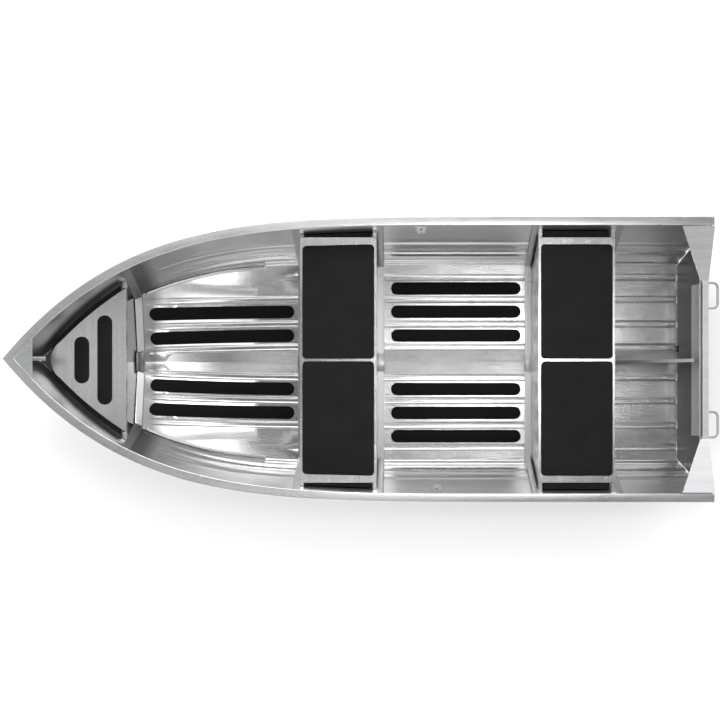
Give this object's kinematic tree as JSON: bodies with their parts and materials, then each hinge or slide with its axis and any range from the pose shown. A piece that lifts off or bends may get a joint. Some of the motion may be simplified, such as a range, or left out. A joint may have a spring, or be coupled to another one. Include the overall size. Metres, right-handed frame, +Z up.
{
  "type": "rowing boat",
  "caption": "Open aluminium V-nosed rowing boat with ribbed sheet hull, box seats, foam pads, rowlock sockets and a raked transom.",
  "frame": {"origin": "on the ground under the middle of the boat", "axes": "+X to the bow, +Y to port, +Z up"},
  "size_m": [3.6521, 1.46, 0.6702],
  "materials": {
    "hull_sheet": "brushed",
    "frame_sheet": "satin",
    "seat_sheet": "satin",
    "extrusion": "polished",
    "casting": "satin",
    "seat_foam": "matte",
    "floor_foam": "matte",
    "rubber": "matte"
  },
  "bodies": {
    "root": {"aft_seat": "seat_sheet", "aft_seat_brackets": "seat_sheet", "aft_seat_pad_port": "seat_foam", "aft_seat_pad_starboard": "seat_foam", "bottom_panel_port": "hull_sheet", "bottom_panel_starboard": "hull_sheet", "bow_frame_port": "frame_sheet", "bow_frame_starboard": "frame_sheet", "bow_seat": "seat_sheet", "bow_seat_brackets": "seat_sheet", "bow_seat_pad_aft": "seat_foam", "bow_seat_pad_fore": "seat_foam", "breasthook": "extrusion", "chine_rail_port": "frame_sheet", "chine_rail_starboard": "frame_sheet", "corner_knee_port": "extrusion", "corner_knee_starboard": "extrusion", "drain_bung": "rubber", "floor_frame_aft_seat_aft": "frame_sheet", "floor_frame_aft_seat_forward": "frame_sheet", "floor_frame_front_seat_aft": "frame_sheet", "floor_frame_front_seat_forward": "frame_sheet", "floor_pads_port": "floor_foam", "floor_pads_starboard": "floor_foam", "fore_floor_pads": "floor_foam", "front_seat": "seat_sheet", "front_seat_brackets": "seat_sheet", "front_seat_pad_port": "seat_foam", "front_seat_pad_starboard": "seat_foam", "gunwale_aft_port": "extrusion", "gunwale_aft_starboard": "extrusion", "gunwale_fore_port": "extrusion", "gunwale_fore_starboard": "extrusion", "keel_strip": "hull_sheet", "lifting_handle_port": "casting", "lifting_handle_starboard": "casting", "motor_board": "hull_sheet", "rowlock_socket_port": "casting", "rowlock_socket_starboard": "casting", "side_frame_aft_seat_aft_port": "frame_sheet", "side_frame_aft_seat_aft_starboard": "frame_sheet", "side_frame_aft_seat_forward_port": "frame_sheet", "side_frame_aft_seat_forward_starboard": "frame_sheet", "side_frame_front_seat_aft_port": "frame_sheet", "side_frame_front_seat_aft_starboard": "frame_sheet", "side_frame_front_seat_forward_port": "frame_sheet", "side_frame_front_seat_forward_starboard": "frame_sheet", "side_panel_port": "hull_sheet", "side_panel_starboard": "hull_sheet", "stem_knee": "frame_sheet", "stem_strip": "hull_sheet", "transom_brace": "frame_sheet", "transom_cap": "extrusion", "transom_panel": "hull_sheet"}
  },
  "joints": []
}
